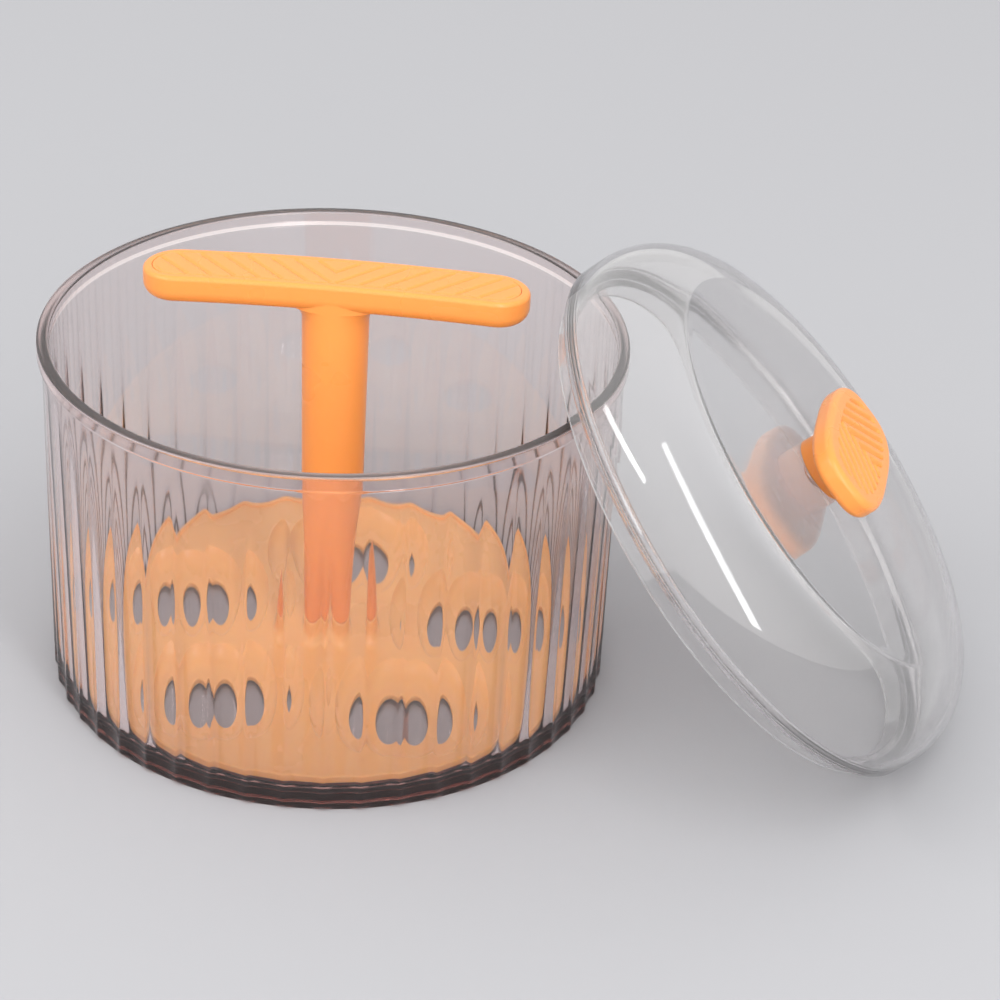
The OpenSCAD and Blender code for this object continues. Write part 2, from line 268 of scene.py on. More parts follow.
@dataclass(frozen=True)
class MouldedPlastic:
    """Pigmented polypropylene, moulded: an even colour, a satin gloss and a very fine orange-peel skin.

    A little light passes through its skin, which softens its edges.
    """

    name: str
    colour: str
    deep_colour: str
    roughness: float = 0.28
    ior: float = 1.49
    cloud_scale: float = 1 / (35 * MM)
    cloud_low: float = 0.3
    cloud_high: float = 0.7
    peel_scale: float = 1 / (0.9 * MM)
    peel_height: float = 0.004 * MM
    glow: float = 0.12
    glow_depth: float = 2.5 * MM

    def material(self) -> bpy.types.Material:
        """Builds the material."""
        material, tree, output = new_material(self.name)
        cloud = mottle(tree, self.cloud_scale, 3.0)
        colour = add_node(tree, "ShaderNodeMix", {
            "Factor": cloud, 6: linear(self.deep_colour), 7: linear(self.colour)}, data_type="RGBA")
        rough = add_node(tree, "ShaderNodeMapRange", {
            "Value": cloud, "From Min": self.cloud_low, "From Max": self.cloud_high,
            "To Min": self.roughness * 0.85, "To Max": self.roughness * 1.15})
        end_material(tree, output, mottle(tree, self.peel_scale, 2.0), self.peel_height, {
            "Base Color": colour.outputs[2], "Roughness": rough.outputs["Result"], "IOR": self.ior,
            "Subsurface Weight": self.glow, "Subsurface Scale": self.glow_depth})
        return material


@dataclass(frozen=True)
class TurnedSteel:
    """Stainless steel, turned: bright, with a fine unevenness from the tool."""

    name: str
    colour: str = "c9c9cc"
    roughness: float = 0.24
    mark_scale: float = 1 / (0.5 * MM)
    mark_height: float = 0.004 * MM

    def material(self) -> bpy.types.Material:
        """Builds the material."""
        material, tree, output = new_material(self.name)
        marks = mottle(tree, self.mark_scale, 3.0)
        rough = add_node(tree, "ShaderNodeMapRange", {
            "Value": marks, "To Min": self.roughness * 0.7, "To Max": self.roughness * 1.4})
        end_material(tree, output, marks, self.mark_height, {
            "Base Color": linear(self.colour), "Metallic": 1.0, "Roughness": rough.outputs["Result"]})
        return material


@dataclass(frozen=True)
class Silicone:
    """Milky silicone rubber, pressed: matt, soft-edged and a little translucent."""

    name: str
    colour: str = "e6e5e0"
    roughness: float = 0.55
    grain_scale: float = 1 / (1.2 * MM)
    grain_height: float = 0.01 * MM
    glow: float = 0.2
    glow_depth: float = 1.5 * MM

    def material(self) -> bpy.types.Material:
        """Builds the material."""
        material, tree, output = new_material(self.name)
        grain = mottle(tree, self.grain_scale, 4.0)
        rough = add_node(tree, "ShaderNodeMapRange", {
            "Value": grain, "To Min": self.roughness * 0.8, "To Max": self.roughness * 1.2})
        end_material(tree, output, grain, self.grain_height, {
            "Base Color": linear(self.colour), "Roughness": rough.outputs["Result"],
            "Subsurface Weight": self.glow, "Subsurface Scale": self.glow_depth})
        return material


# ---------------------------------------------------------------- outlines and meshes


def rounded(corners: Sequence[Corner], steps: int = 6) -> Profile:
    """Rounds the corners of an open outline.

    Args:
        corners: points, each with the radius of its rounding.
        steps: lengths that each rounding is made of.

    Returns:
        The points of the rounded outline.
    """
    points: Profile = []
    for i, (x, y, radius) in enumerate(corners):
        here = Vector((x, y))
        if radius <= 0 or i in (0, len(corners) - 1):
            points.append((x, y))
            continue
        back = Vector(corners[i - 1][:2]) - here
        ahead = Vector(corners[i + 1][:2]) - here
        half = back.angle(ahead) / 2
        reach = min(radius / math.tan(half), 0.49 * back.length, 0.49 * ahead.length)
        radius = reach * math.tan(half)
        back.normalize()
        ahead.normalize()
        centre = here + (back + ahead).normalized() * (radius / math.sin(half))
        start = here + back * reach - centre
        end = here + ahead * reach - centre
        sweep = start.angle(end)
        for step in range(steps + 1):
            share = step / steps
            mixed = start * math.sin((1 - share) * sweep) + end * math.sin(share * sweep)
            points.append(tuple(centre + mixed / math.sin(sweep)))
    return points


def arc(centre: tuple[float, float], radius: float, start: float, end: float, steps: int = 10) -> Profile:
    """Points along an arc, with angles in degrees."""
    angles = np.radians(np.linspace(start, end, steps + 1))
    return [(centre[0] + radius * math.cos(a), centre[1] + radius * math.sin(a)) for a in angles]


def refined(profile: Profile, step: float) -> Profile:
    """Adds points to an outline so that none of its lengths is longer than a step."""
    points: Profile = [profile[0]]
    for a, b in zip(profile, profile[1:]):
        count = max(1, math.ceil(math.dist(a, b) / step))
        points += [(a[0] + (b[0] - a[0]) * k / count, a[1] + (b[1] - a[1]) * k / count)
                   for k in range(1, count + 1)]
    return points


def circle(radius: float, z: float, count: int, centre: tuple[float, float] = (0.0, 0.0)) -> np.ndarray:
    """Points of a level circle."""
    angles = np.arange(count) * FULL_TURN / count
    return np.stack([centre[0] + radius * np.cos(angles), centre[1] + radius * np.sin(angles),
                     np.full(count, z)], axis=1)


def stadium(length: float, width: float, offset: float, z: float, side: int, end: int = 48) -> np.ndarray:
    """Points of a level outline with straight sides and round ends, moved in by an offset."""
    half = (length - width) / 2
    radius = width / 2 - offset
    turn = np.linspace(-math.pi / 2, math.pi / 2, end, endpoint=False)
    line = np.linspace(half, -half, side, endpoint=False)
    right = np.stack([half + radius * np.cos(turn), radius * np.sin(turn)], axis=1)
    upper = np.stack([line, np.full(side, radius)], axis=1)
    flat = np.concatenate([right, upper, -right, -upper])
    return np.column_stack([flat, np.full(len(flat), z)])


def cushion_shape(length: float, width: float, offset: float, z: float, power: float,
                  count: int = 360) -> np.ndarray:
    """Points of a level superellipse, moved in by an offset."""
    angles = np.arange(count) * FULL_TURN / count
    across = np.cos(angles)
    along = np.sin(angles)
    x = (length / 2 - offset) * np.sign(across) * np.abs(across) ** (2 / power)
    y = (width / 2 - offset) * np.sign(along) * np.abs(along) ** (2 / power)
    return np.column_stack([x, y, np.full(count, z)])


@dataclass
class Shell:
    """A closed surface that is being put together."""

    points: list = field(default_factory=list)
    faces: list = field(default_factory=list)

    def loft(self, rings: Sequence[np.ndarray], closed: bool = False) -> "Shell":
        """Joins rings of points, each to the next.

        Args:
            rings: rings with the same number of points each.
            closed: whether the last ring joins the first.

        Returns:
            The shell itself.
        """
        count = len(rings[0])
        base = len(self.points)
        for ring in rings:
            self.points.extend(map(tuple, ring))
        for i in range(len(rings) if closed else len(rings) - 1):
            low = base + i * count
            high = base + (i + 1) % len(rings) * count
            self.faces.extend((low + k, low + (k + 1) % count, high + (k + 1) % count, high + k)
                              for k in range(count))
        return self

    def revolve(self, profile: Profile, count: int, centre: tuple[float, float] = (0.0, 0.0),
                closed: bool = False) -> "Shell":
        """Turns an outline of radii and heights about an upright axis."""
        return self.loft([circle(r, z, count, centre) for r, z in profile], closed)

    def plate(self, outer: np.ndarray, holes: Sequence[np.ndarray]) -> "Shell":
        """Fills a level outline, less its holes, with flat triangles."""
        loops = [outer, *holes]
        flat = [Vector(p[:2]) for loop in loops for p in loop]
        edges = []
        base = 0
        for loop in loops:
            edges += [(base + k, base + (k + 1) % len(loop)) for k in range(len(loop))]
            base += len(loop)
        spots, _, triangles, _, _, _ = delaunay_2d_cdt(flat, edges, [], 0, WELD / 10)
        start = len(self.points)
        self.points.extend((p.x, p.y, float(outer[0][2])) for p in spots)
        for triangle in triangles:
            middle = sum((spots[i] for i in triangle), Vector((0.0, 0.0))) / 3
            if inside(middle, outer) and not any(inside(middle, hole) for hole in holes):
                self.faces.append(tuple(start + i for i in triangle))
        return self

    def mesh(self, name: str) -> bpy.types.Object:
        """Turns the shell into an object with merged points and outward faces."""
        data = bpy.data.meshes.new(name)
        data.from_pydata(self.points, [], self.faces)
        work = bmesh.new()
        work.from_mesh(data)
        bmesh.ops.remove_doubles(work, verts=work.verts, dist=WELD)
        bmesh.ops.dissolve_degenerate(work, edges=work.edges, dist=WELD / 4)
        bmesh.ops.recalc_face_normals(work, faces=work.faces)
        if work.calc_volume(signed=True) < 0:
            bmesh.ops.reverse_faces(work, faces=work.faces)
        loose = [e for e in work.edges if len(e.link_faces) != 2]
        if loose:
            LOG.warning("%s has %d open edges", name, len(loose))
        work.to_mesh(data)
        work.free()
        piece = bpy.data.objects.new(name, data)
        bpy.context.scene.collection.objects.link(piece)
        return piece


def inside(point: Vector, loop: np.ndarray) -> bool:
    """Tells whether a flat point is inside a level outline."""
    x, y = loop[:, 0], loop[:, 1]
    x2, y2 = np.roll(x, -1), np.roll(y, -1)
    spans = (y > point.y) != (y2 > point.y)
    with np.errstate(divide="ignore", invalid="ignore"):
        cross = x + (point.y - y) / (y2 - y) * (x2 - x)
    return bool(np.count_nonzero(spans & (cross > point.x)) % 2)


def settle(piece: bpy.types.Object) -> bpy.types.Object:
    """Makes the result of a piece's modifiers its own mesh and takes the modifiers off."""
    graph = bpy.context.evaluated_depsgraph_get()
    graph.update()
    made = bpy.data.meshes.new_from_object(piece.evaluated_get(graph), preserve_all_data_layers=True,
                                           depsgraph=graph)
    old = piece.data
    piece.modifiers.clear()
    piece.data = made
    bpy.data.meshes.remove(old)
    made.name = piece.name
    return piece


def join_solid(piece: bpy.types.Object, other: bpy.types.Object,
               operation: str = "UNION") -> bpy.types.Object:
    """Joins another solid to a piece, or cuts it away, and removes the other.

    Args:
        piece: the piece that stays.
        other: the solid that is used up.
        operation: UNION or DIFFERENCE.

    Returns:
        The piece.
    """
    step = piece.modifiers.new("solid", "BOOLEAN")
    step.operation = operation
    step.solver = "EXACT"
    step.object = other
    settle(piece)
    bpy.data.objects.remove(other)
    return piece


def smooth(piece: bpy.types.Object) -> bpy.types.Object:
    """Shades a piece smooth, with its sharp edges kept and its flat faces left flat."""
    piece.data.shade_smooth()
    piece.data.set_sharp_from_angle(angle=SHARP_ANGLE)
    weigh = piece.modifiers.new("weigh", "WEIGHTED_NORMAL")
    weigh.keep_sharp = True
    weigh.weight = 80
    return settle(piece)


def new_tree(name: str, sizes: Sequence[str]) -> tuple[bpy.types.NodeTree, dict, bpy.types.Node]:
    """Makes an empty geometry tree with named inputs for a geometry, its sizes and its material.

    Args:
        name: the tree's name.
        sizes: the names of its sizes.

    Returns:
        The tree, its inputs and each point's x, y and z by name, and its output node.
    """
    tree = bpy.data.node_groups.new(name, "GeometryNodeTree")
    tree.interface.new_socket("Geometry", in_out="INPUT", socket_type="NodeSocketGeometry")
    for label in sizes:
        tree.interface.new_socket(label, in_out="INPUT", socket_type="NodeSocketFloat")
    tree.interface.new_socket("Material", in_out="INPUT", socket_type="NodeSocketMaterial")
    tree.interface.new_socket("Geometry", in_out="OUTPUT", socket_type="NodeSocketGeometry")
    known = {socket.name: socket for socket in add_node(tree, "NodeGroupInput").outputs if socket.name}
    place = add_node(tree, "GeometryNodeInputPosition").outputs[0]
    known |= zip("xyz", add_node(tree, "ShaderNodeSeparateXYZ", {0: place}).outputs)
    return tree, known, add_node(tree, "NodeGroupOutput")


def run_tree(piece: bpy.types.Object, tree: bpy.types.NodeTree, values: dict) -> bpy.types.Object:
    """Runs a geometry tree on a piece and keeps the result as its plain mesh.

    Args:
        piece: the piece to change.
        tree: the geometry tree.
        values: the tree's inputs by name.

    Returns:
        The piece.
    """
    step = piece.modifiers.new(tree.name, "NODES")
    step.node_group = tree
    for item in tree.interface.items_tree:
        if item.in_out == "INPUT" and item.name in values:
            step[item.identifier] = values[item.name]
    return settle(piece)


def end_tree(tree: bpy.types.NodeTree, result: bpy.types.NodeSocket, material: bpy.types.NodeSocket,
             output: bpy.types.Node) -> None:
    """Ends a geometry tree in realised instances with a material."""
    whole = add_node(tree, "GeometryNodeRealizeInstances", {0: result})
    dressed = add_node(tree, "GeometryNodeSetMaterial", {"Geometry": whole.outputs[0], "Material": material})
    tree.links.new(dressed.outputs[0], output.inputs[0])


def flute_tree() -> bpy.types.NodeTree:
    """Builds the tree that cuts hollow flutes, deeper towards the foot, into a round upright wall."""
    tree, known, output = new_tree("Flutes", (
        "Count", "Turn", "Wall radius", "Draft", "Depth", "Half width", "Top", "Softness"))
    values = formula(tree, known, (
        ("pitch", "DIVIDE", FULL_TURN, "Count"),
        ("half pitch", "MULTIPLY", "pitch", 0.5),
        ("minus half", "MULTIPLY", "pitch", -0.5),
        ("xx", "MULTIPLY", "x", "x"),
        ("rr", "MULTIPLY_ADD", "y", "y", "xx"),
        ("r", "SQRT", "rr"),
        ("angle", "ARCTAN2", "y", "x"),
        ("turned", "SUBTRACT", "angle", "Turn"),
        ("off", "WRAP", "turned", "half pitch", "minus half"),
        ("across", "SINE", "off"),
        ("side", "MULTIPLY", "across", "Wall radius"),
        ("portion", "DIVIDE", "side", "Half width"),
        ("square", "MULTIPLY", "portion", "portion"),
        ("below", "SUBTRACT", "Top", "z"),
        ("share", "DIVIDE", "below", "Top"),
        ("some", "MAXIMUM", "share", 0.0),
        ("depth", "MULTIPLY", "some", "Depth"),
        ("sag", "MULTIPLY", "square", "depth"),
        ("drawn in", "MULTIPLY", "share", "Draft"),
        ("wall", "SUBTRACT", "Wall radius", "drawn in"),
        ("floor", "SUBTRACT", "wall", "depth"),
        ("cut", "ADD", "floor", "sag"),
        ("soft", "MULTIPLY", "depth", "Softness"),
        ("new r", "SMOOTH_MIN", "r", "cut", "soft"),
        ("scale", "DIVIDE", "new r", "r"),
        ("new x", "MULTIPLY", "x", "scale"),
        ("new y", "MULTIPLY", "y", "scale"),
        ("fluted", "GREATER_THAN", "below", 0.0),
    ))
    moved = add_node(tree, "ShaderNodeCombineXYZ", {0: values["new x"], 1: values["new y"], 2: values["z"]})
    cut = add_node(tree, "GeometryNodeSetPosition", {
        "Geometry": values["Geometry"], "Selection": values["fluted"], "Position": moved.outputs[0]})
    end_tree(tree, cut.outputs[0], values["Material"], output)
    return tree


def chevron_tree() -> bpy.types.NodeTree:
    """Builds the tree that presses nested V grooves, pointing along the middle line, into a top face."""
    tree, known, output = new_tree("Chevrons", ("Pitch", "Angle", "Width", "Depth"))
    share = add_node(tree, "GeometryNodeInputNamedAttribute", {"Name": "relief"}, data_type="FLOAT")
    values = formula(tree, known | {"relief": share.outputs[0]}, (
        ("slope", "TANGENT", "Angle"),
        ("sine", "SINE", "Angle"),
        ("reach", "ABSOLUTE", "x"),
        ("lift", "DIVIDE", "y", "slope"),
        ("along", "SUBTRACT", "reach", "lift"),
        ("half pitch", "MULTIPLY", "Pitch", 0.5),
        ("minus half", "MULTIPLY", "Pitch", -0.5),
        ("off", "WRAP", "along", "half pitch", "minus half"),
        ("square", "MULTIPLY", "off", "sine"),
        ("away", "ABSOLUTE", "square"),
        ("half width", "MULTIPLY", "Width", 0.5),
        ("portion", "DIVIDE", "away", "half width"),
        ("kept", "MINIMUM", "portion", 1.0),
        ("turned", "MULTIPLY", "kept", math.pi),
        ("wave", "COSINE", "turned"),
        ("bowl", "MULTIPLY_ADD", "wave", 0.5, 0.5),
        ("pressed", "MULTIPLY", "bowl", "relief"),
        ("drop", "MULTIPLY", "pressed", "Depth"),
        ("fall", "MULTIPLY", "drop", -1.0),
    ))
    offset = add_node(tree, "ShaderNodeCombineXYZ", {2: values["fall"]})
    cut = add_node(tree, "GeometryNodeSetPosition", {
        "Geometry": values["Geometry"], "Offset": offset.outputs[0]})
    end_tree(tree, cut.outputs[0], values["Material"], output)
    return tree


def points_of(piece: bpy.types.Object) -> np.ndarray:
    """Gives the points of a piece, one row each."""
    points = np.empty(len(piece.data.vertices) * 3)
    piece.data.vertices.foreach_get("co", points)
    return points.reshape(-1, 3)


def set_relief(piece: bpy.types.Object, share: Callable[[np.ndarray], np.ndarray]) -> None:
    """Stores how far each point of a piece takes part in its relief.

    Args:
        piece: the piece to mark.
        share: gives a share from 0 to 1 for each point.
    """
    marks = piece.data.attributes.new("relief", "FLOAT", "POINT")
    marks.data.foreach_set("value", share(points_of(piece)).astype(np.float32))


def place(piece: bpy.types.Object, matrix: Matrix) -> bpy.types.Object:
    """Moves a piece's mesh to its place, with its object left at the origin."""
    piece.data.transform(matrix)
    piece.data.update()
    return piece


def hand_over(piece: bpy.types.Object, body: Body, slot: Slot, *nodes: str) -> None:
    """Puts a finished piece on its body in place of its plain nodes, and reports it.

    Args:
        piece: the finished piece.
        body: the body that it rides on.
        slot: the material slot that it stands for; not used.
        *nodes: the nodes that it replaces.
    """
    piece.data.name = piece.name
    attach(piece, body.value)
    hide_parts(*nodes)
    count = sum(len(p.vertices) - 2 for p in piece.data.polygons)
    LOG.info("%s: %d triangles on %s", piece.name, count, body.value)


def dress(piece: bpy.types.Object, material: bpy.types.Material) -> bpy.types.Object:
    """Gives a piece one material."""
    piece.data.materials.clear()
    piece.data.materials.append(material)
    return piece


# ---------------------------------------------------------------- sub-assemblies


@dataclass
class Jar:
    """The fluted jar, one clear moulding with a thick rim and a foot ring."""

    finish: ClearPlastic
    rim_r: float
    height: float
    rim_w: float = 3.4 * MM
    rim_h: float = 4 * MM
    rim_lip: float = 1.3 * MM
    inner_draft: float = 1.8 * MM
    outer_draft: float = 0.9 * MM
    floor_t: float = 2.6 * MM
    corner_r: float = 7 * MM
    foot_recess: float = 0.8 * MM
    foot_w: float = 6 * MM
    foot_bevel: float = 1.6 * MM
    flutes: int = 48
    flute_turn: float = math.radians(2.9)
    flute_depth: float = 1.4 * MM
    flute_land: float = 0.5 * MM
    flute_top: float = 103 * MM
    flute_softness: float = 0.12
    flute_steps: int = 14

    def profile(self) -> Profile:
        """Gives the wall's outline, from the middle of the foot round to the middle of the floor."""
        wall_r = self.rim_r - self.rim_lip
        mouth_r = self.rim_r - self.rim_w
        foot_r = wall_r - self.outer_draft
        ring_r = foot_r - self.foot_bevel - self.foot_w
        band_z = self.height - self.rim_h
        outline = rounded([
            (0, self.foot_recess, 0), (ring_r, self.foot_recess, 0.3 * MM), (ring_r, 0, 0.3 * MM),
            (foot_r - self.foot_bevel, 0, 0.8 * MM), (foot_r, self.foot_bevel, 1.2 * MM),
            (wall_r, band_z - self.rim_lip, 0.8 * MM), (self.rim_r, band_z, 0.6 * MM),
            (self.rim_r, self.height, 0.9 * MM), (mouth_r, self.height, 0.9 * MM),
            (mouth_r - self.inner_draft, self.floor_t, self.corner_r), (0, self.floor_t, 0)], steps=6)
        return refined(outline, 4.5 * MM)

    def build(self) -> bpy.types.Object:
        """Builds and dresses the jar."""
        wall_r = self.rim_r - self.rim_lip
        half_width = wall_r * math.sin(FULL_TURN / 2 / self.flutes) - self.flute_land / 2
        piece = Shell().revolve(self.profile(), self.flutes * self.flute_steps).mesh("jar_clear")
        run_tree(piece, flute_tree(), {
            "Count": float(self.flutes), "Turn": self.flute_turn, "Wall radius": wall_r,
            "Draft": self.outer_draft, "Depth": self.flute_depth, "Half width": half_width,
            "Top": self.flute_top, "Softness": self.flute_softness, "Material": self.finish.material()})
        smooth(piece)
        hand_over(piece, Body.JAR, Slot.JAR, "jar")
        return piece


@dataclass
class DrainTray:
    """The lift-out tray: a disc with cups, drain holes and a raised edge, and a boss with a socket."""

    skin: bpy.types.Material
    tray_r: float
    foot_z: float
    boss_top_z: float
    thickness: float = 1.8 * MM
    cup_depth: float = 6.2 * MM
    cups: int = 5
    cup_r: float = 25.58 * MM
    cup_floor_r: float = 17.08 * MM
    hole_r: float = 12.78 * MM
    cup_pitch: float = 47.42 * MM
    cup_turn: float = math.radians(10.4)
    edge_w: float = 1.6 * MM
    edge_h: float = 0.8 * MM
    boss_r: float = 8.9 * MM
    boss_fillet: float = 4 * MM
    socket_r: float = 4.58 * MM
    slot_r: float = 6.9 * MM
    slot_half: float = 3.3 * MM
    boss_rim: float = 1.2 * MM
    lip: float = 0.6 * MM
    edge_round: float = 0.5 * MM
    cup_steps: int = 144
    disc_steps: int = 288
    boss_steps: int = 96

    def cup_profile(self) -> Profile:
        """Gives a cup's outline about its own axis, from its lip down through its hole to its underside."""
        face_z = self.foot_z + self.cup_depth
        floor_z = self.foot_z + self.thickness
        depth = self.cup_depth - self.thickness
        bowl_r = ((self.cup_r - self.cup_floor_r) ** 2 + depth ** 2) / (2 * depth)
        inner = math.degrees(math.acos(1 - depth / bowl_r))
        wall_r = bowl_r + self.thickness
        outer = math.degrees(math.acos(1 - depth / wall_r))
        bowl = arc((self.cup_floor_r, floor_z + bowl_r), bowl_r, 270 + inner, 270)
        hull = arc((self.cup_floor_r, self.foot_z + wall_r), wall_r, 270, 270 + outer)
        hull_r = hull[-1][0]
        corners = [(self.cup_r + 0.5 * MM, face_z, 0), (*bowl[0], self.lip)]
        corners += [(r, z, 0) for r, z in bowl[1:]]
        corners += [(self.hole_r, floor_z, 0.5 * MM), (self.hole_r, self.foot_z, 0.3 * MM)]
        corners += [(r, z, 0) for r, z in hull[:-1]]
        corners += [(hull_r, face_z - self.thickness, 0)]
        return rounded(corners, steps=5)

    def keyhole(self, z: float) -> np.ndarray:
        """Gives the outline of the round socket with its two lug slots."""
        angles = np.arange(self.boss_steps) * FULL_TURN / self.boss_steps
        sines = np.maximum(np.abs(np.sin(angles)), TINY)
        radii = np.maximum(self.socket_r, np.minimum(self.slot_r, self.slot_half / sines))
        turned = angles + self.cup_turn + FULL_TURN / 4 * (1 - 1 / self.cups)
        return np.column_stack([radii * np.cos(turned), radii * np.sin(turned), np.full(len(angles), z)])

    def build(self) -> bpy.types.Object:
        """Builds and dresses the tray."""
        face_z = self.foot_z + self.cup_depth
        under_z = face_z - self.thickness
        inner_r = self.tray_r - self.edge_w
        shell = Shell()
        cup = self.cup_profile()
        centres = [(self.cup_pitch * math.cos(a), self.cup_pitch * math.sin(a))
                   for a in (self.cup_turn + FULL_TURN * i / self.cups for i in range(self.cups))]
        for centre in centres:
            shell.revolve(cup, self.cup_steps, centre)
        edge = rounded([
            (inner_r - 0.15 * MM, face_z, 0), (inner_r, face_z, 0.1 * MM),
            (inner_r, face_z + self.edge_h, 0.3 * MM), (self.tray_r, face_z + self.edge_h, self.edge_round),
            (self.tray_r, under_z, self.edge_round), (self.tray_r - 1 * MM, under_z, 0)])
        shell.revolve(edge, self.disc_steps)
        rise = arc((self.boss_r + self.boss_fillet, face_z + self.boss_fillet), self.boss_fillet, 270, 180)
        boss = rounded([*((r, z, 0) for r, z in rise), (self.boss_r, self.boss_top_z, 0.6 * MM),
                        (self.boss_r - self.boss_rim, self.boss_top_z, 0)])
        shell.revolve(boss, self.boss_steps)
        top_loop = circle(edge[0][0], face_z, self.disc_steps)
        under_loop = circle(edge[-1][0], under_z, self.disc_steps)
        lips = [circle(cup[0][0], face_z, self.cup_steps, c) for c in centres]
        hulls = [circle(cup[-1][0], under_z, self.cup_steps, c) for c in centres]
        shell.plate(top_loop, [*lips, circle(boss[0][0], face_z, self.boss_steps)])
        shell.plate(under_loop, [*hulls, self.keyhole(under_z)])
        shell.plate(circle(boss[-1][0], self.boss_top_z, self.boss_steps), [self.keyhole(self.boss_top_z)])
        shell.loft([self.keyhole(self.boss_top_z), self.keyhole(under_z)])
        piece = dress(smooth(shell.mesh("drain_tray_moulding")), self.skin)
        hand_over(piece, Body.TRAY, Slot.ORANGE, "drain_tray")
        return piece


@dataclass
class Handle:
    """The T-handle: a post with a spigot and lugs at its foot, an arched grip, and the cap let into it."""

    skin: bpy.types.Material
    top_z: float
    post_foot_z: float
    lug_low_z: float
    turn: float = math.radians(-7.6)
    length: float = 111 * MM
    width: float = 19.8 * MM
    thickness: float = 9 * MM
    drop: float = 1.5 * MM
    edge_round: float = 3.6 * MM
    under_round: float = 5.4 * MM
    cap_border: float = 2.6 * MM
    cap_ledge: float = 1.6 * MM
    cap_t: float = 2 * MM
    cap_round: float = 0.25 * MM
    core_h: float = 3.2 * MM
    cap_gap: float = 0.1 * MM
    post_foot_r: float = 8.6 * MM
    post_top_r: float = 9.7 * MM
    post_fillet: float = 5 * MM
    post_sunk: float = 4.5 * MM
    post_steps: int = 96
    spigot_r: float = 4.5 * MM
    lug_r: float = 6.6 * MM
    lug_half: float = 3 * MM
    lug_t: float = 1.8 * MM
    chevron_pitch: float = 6.8 * MM
    chevron_angle: float = math.radians(48)
    groove_w: float = 1.7 * MM
    groove_depth: float = 0.5 * MM
    relief_border: float = 0.575 * MM
    relief_fade: float = 0.5 * MM

    def arched(self, piece: bpy.types.Object) -> bpy.types.Object:
        """Bends a level piece down towards its two ends."""
        points = points_of(piece)
        points[:, 2] -= self.drop * (2 * points[:, 0] / self.length) ** 2
        piece.data.vertices.foreach_set("co", points.ravel())
        piece.data.update()
        return piece

    def grip(self) -> bpy.types.Object:
        """Builds the grip, level, with the recess for its cap."""
        half = self.width / 2
        ledge = self.cap_border + self.cap_ledge
        seat_z = self.top_z - self.cap_t
        outline = rounded([
            (half, seat_z - self.core_h, 0), (ledge, seat_z - self.core_h, 0), (ledge, seat_z, 0),
            (self.cap_border, seat_z, 0), (self.cap_border, self.top_z, self.cap_round),
            (0, self.top_z, self.edge_round), (0, self.top_z - self.thickness, self.under_round),
            (half, self.top_z - self.thickness, 0)], steps=8)
        rings = [stadium(self.length, self.width, offset, z, side=150, end=32)
                 for offset, z in refined(outline, 1.5 * MM)]
        return self.arched(Shell().loft(rings).mesh("grip"))

    def post(self) -> bpy.types.Object:
        """Builds the post with its flare under the grip and its spigot."""
        under_z = self.top_z - self.thickness
        flare_z = under_z - self.post_fillet
        foot_z = self.post_foot_z
        flare = arc((self.post_top_r + self.post_fillet, flare_z), self.post_fillet, 180, 90, steps=12)
        top_z = under_z + self.post_sunk
        sections = [(0.0, self.lug_low_z), (self.spigot_r, self.lug_low_z), (self.spigot_r, foot_z)]
        sections += rounded([(self.spigot_r, foot_z, 0), (self.post_foot_r, foot_z, 0.5 * MM),
                             (self.post_top_r, flare_z, 0)])[1:]
        sections += [*flare, (flare[-1][0], top_z), (0.0, top_z)]
        rings = []
        for r, z in sections:
            ring = circle(r, z, self.post_steps)
            ring[:, 1] *= min(1.0, self.post_top_r / max(r, WELD))
            rings.append(ring)
        return Shell().loft(rings).mesh("post")

    def lugs(self) -> bpy.types.Object:
        """Builds the bar of locking lugs across the spigot."""
        angles = np.arange(self.post_steps) * FULL_TURN / self.post_steps
        sines = np.maximum(np.abs(np.sin(angles)), TINY)
        radii = np.minimum(self.lug_r, self.lug_half / sines)
        flat = np.stack([radii * np.cos(angles), radii * np.sin(angles)], axis=1)
        outline = rounded([(self.lug_half, 0.0, 0), (0.0, 0.0, 0.3 * MM), (0.0, self.lug_t, 0.3 * MM),
                           (self.lug_half, self.lug_t, 0)])
        rings = [np.column_stack([flat * (1 - inset / self.lug_half), np.full(len(flat), self.lug_low_z + z)])
                 for inset, z in outline]
        return Shell().loft(rings).mesh("lugs")

    def build_handle(self) -> bpy.types.Object:
        """Builds and dresses the handle itself."""
        piece = self.grip()
        join_solid(piece, self.post())
        join_solid(piece, self.lugs())
        piece.name = "t_handle_moulding"
        place(smooth(piece), Matrix.Rotation(self.turn, 4, "Z"))
        dress(piece, self.skin)
        hand_over(piece, Body.HANDLE, Slot.ORANGE, "t_handle")
        return piece

    def build_cap(self) -> bpy.types.Object:
        """Builds and dresses the cap with its chevrons."""
        border = self.cap_border + self.cap_gap
        length, width = self.length - 2 * border, self.width - 2 * border
        half = width / 2
        low_z = self.top_z - self.cap_t
        rim = rounded([(half, low_z, 0), (0, low_z, 0), (0, self.top_z, self.cap_round),
                       (1 * MM, self.top_z, 0)])
        face = refined([(1 * MM, self.top_z), (half, self.top_z)], 0.22 * MM)[1:]
        rings = [stadium(length, width, offset, z, side=420) for offset, z in rim + face]
        piece = Shell().loft(rings).mesh("grip_cap_moulding")

        def share(points: np.ndarray) -> np.ndarray:
            reach = np.maximum(np.abs(points[:, 0]) - (length - width) / 2, 0)
            inset = half - np.hypot(reach, points[:, 1]) - self.relief_border
            fade = np.clip(inset / self.relief_fade, 0, 1)
            return fade * (points[:, 2] > self.top_z - WELD)

